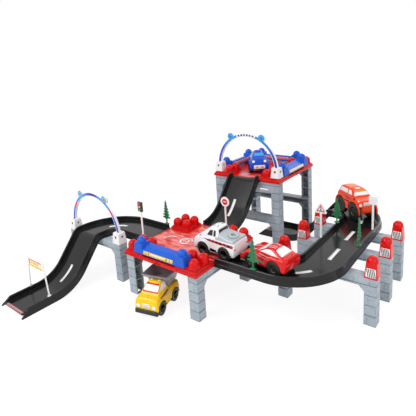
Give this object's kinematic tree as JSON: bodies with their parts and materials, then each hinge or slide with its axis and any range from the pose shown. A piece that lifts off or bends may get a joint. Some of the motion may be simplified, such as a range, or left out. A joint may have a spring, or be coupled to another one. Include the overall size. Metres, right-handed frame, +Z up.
{
  "type": "toy race track",
  "caption": "Raised toy road set on brick gates with two studded decks, curved ramps, railings, arches, signs, trees and rolling toy vehicles.",
  "frame": {"origin": "middle of the set's bounding box, on the floor", "axes": "+Z up, +Y from the front of the set to the tower at the back, +X to the right along the front edge"},
  "size_m": [0.7966, 0.803, 0.34],
  "materials": {
    "deck_red": "glossy",
    "cap_red": "glossy",
    "rail_blue": "glossy",
    "arch_blue": "glossy",
    "brick_grey": "matt",
    "road_black": "satin",
    "block_white": "glossy",
    "tree_green": "satin",
    "sign_white": "satin",
    "signal_grey": "satin",
    "pickup_white": "glossy",
    "racer_red": "glossy",
    "suv_orange": "glossy",
    "coupe_blue": "glossy",
    "dumper_yellow": "glossy",
    "bed_grey": "satin",
    "wheel_black": "satin",
    "chassis_black": "matt"
  },
  "bodies": {
    "track_set": {"lower_deck": "deck_red", "tower_deck": "deck_red", "gate_left": "brick_grey", "gate_deck_left": "brick_grey", "gate_deck_right": "brick_grey", "gate_tower_front_low": "brick_grey", "gate_tower_front_high": "brick_grey", "gate_tower_back_low": "brick_grey", "gate_tower_back_high": "brick_grey", "gate_side_front": "brick_grey", "gate_side_middle": "brick_grey", "gate_side_back": "brick_grey", "track_left_straight": "road_black", "track_left_curve": "road_black", "track_left_ramp": "road_black", "track_left_end": "road_black", "track_tower_ramp": "road_black", "track_front_straight": "road_black", "track_front_curve": "road_black", "track_side_straight_near": "road_black", "track_side_straight_far": "road_black", "track_back_curve": "road_black", "track_back_ramp": "road_black", "track_back_end": "road_black", "railing_lower": "rail_blue", "railing_tower_left": "rail_blue", "railing_tower_back": "rail_blue", "railing_tower_right": "rail_blue", "arch_left": "arch_blue", "arch_blocks_left": "block_white", "arch_tower": "arch_blue", "arch_blocks_tower": "block_white", "gate_caps": "cap_red", "sign_gantry": "sign_white", "sign_traffic_light": "signal_grey", "sign_round": "sign_white", "sign_triangle": "sign_white", "sign_square": "sign_white", "trees": "tree_green"},
    "pickup": {"pickup_body": "pickup_white", "pickup_chassis": "chassis_black"},
    "pickup_front_axle": {"pickup_front_wheels": "wheel_black"},
    "pickup_rear_axle": {"pickup_rear_wheels": "wheel_black"},
    "racer": {"racer_body": "racer_red", "racer_chassis": "chassis_black"},
    "racer_front_axle": {"racer_front_wheels": "wheel_black"},
    "racer_rear_axle": {"racer_rear_wheels": "wheel_black"},
    "suv": {"suv_body": "suv_orange", "suv_chassis": "chassis_black"},
    "suv_front_axle": {"suv_front_wheels": "wheel_black"},
    "suv_rear_axle": {"suv_rear_wheels": "wheel_black"},
    "coupe": {"coupe_body": "coupe_blue", "coupe_chassis": "chassis_black"},
    "coupe_front_axle": {"coupe_front_wheels": "wheel_black"},
    "coupe_rear_axle": {"coupe_rear_wheels": "wheel_black"},
    "dumper": {"dumper_body": "dumper_yellow", "dumper_chassis": "chassis_black", "dumper_bed": "bed_grey"},
    "dumper_front_axle": {"dumper_front_wheels": "wheel_black"},
    "dumper_rear_axle": {"dumper_rear_wheels": "wheel_black"}
  },
  "joints": [
    {"name": "pickup_roll", "type": "slide", "parent": "track_set", "child": "pickup", "axis": [-1, 0, 0], "range_m": [-0.005, 0.15]},
    {"name": "racer_roll", "type": "hinge", "parent": "track_set", "child": "racer", "pos_m": [0.21125, -0.0015, 0.111], "axis": [0, 0, 1], "range_deg": [0, 80]},
    {"name": "suv_roll", "type": "hinge", "parent": "track_set", "child": "suv", "pos_m": [0.21125, 0.2365, 0.111], "axis": [0, 0, 1], "range_deg": [-35, 25]},
    {"name": "coupe_roll", "type": "slide", "parent": "track_set", "child": "coupe", "axis": [0.5878, -0.809, 0], "range_m": [-0.01, 0.01]},
    {"name": "dumper_roll", "type": "slide", "parent": "track_set", "child": "dumper", "axis": [0.2419, -0.9703, 0], "range_m": [-0.06, 0.06]},
    {"name": "pickup_front_spin", "type": "hinge", "parent": "pickup", "child": "pickup_front_axle", "pos_m": [0.04825, -0.0815, 0.1273], "axis": [0, -1, 0], "continuous": true},
    {"name": "pickup_rear_spin", "type": "hinge", "parent": "pickup", "child": "pickup_rear_axle", "pos_m": [0.10625, -0.0815, 0.1273], "axis": [0, -1, 0], "continuous": true},
    {"name": "racer_front_spin", "type": "hinge", "parent": "racer", "child": "racer_front_axle", "pos_m": [0.17341, -0.07509, 0.1273], "axis": [-0.1167, -0.9932, 0], "continuous": true},
    {"name": "racer_rear_spin", "type": "hinge", "parent": "racer", "child": "racer_rear_axle", "pos_m": [0.23101, -0.08185, 0.1273], "axis": [-0.1167, -0.9932, 0], "continuous": true},
    {"name": "suv_front_spin", "type": "hinge", "parent": "suv", "child": "suv_front_axle", "pos_m": [0.28321, 0.27403, 0.1353], "axis": [0.6428, 0.766, 0], "continuous": true},
    {"name": "suv_rear_spin", "type": "hinge", "parent": "suv", "child": "suv_rear_axle", "pos_m": [0.23571, 0.31388, 0.1353], "axis": [0.6428, 0.766, 0], "continuous": true},
    {"name": "coupe_front_spin", "type": "hinge", "parent": "coupe", "child": "coupe_front_axle", "pos_m": [-0.00988, 0.24266, 0.2303], "axis": [0.809, 0.5878, 0], "continuous": true},
    {"name": "coupe_rear_spin", "type": "hinge", "parent": "coupe", "child": "coupe_rear_axle", "pos_m": [-0.04162, 0.28634, 0.2303], "axis": [0.809, 0.5878, 0], "continuous": true},
    {"name": "dumper_front_spin", "type": "hinge", "parent": "dumper", "child": "dumper_front_axle", "pos_m": [-0.02273, -0.21764, 0.0163], "axis": [0.9703, 0.2419, 0], "continuous": true},
    {"name": "dumper_rear_spin", "type": "hinge", "parent": "dumper", "child": "dumper_rear_axle", "pos_m": [-0.03677, -0.16136, 0.0163], "axis": [0.9703, 0.2419, 0], "continuous": true}
  ]
}
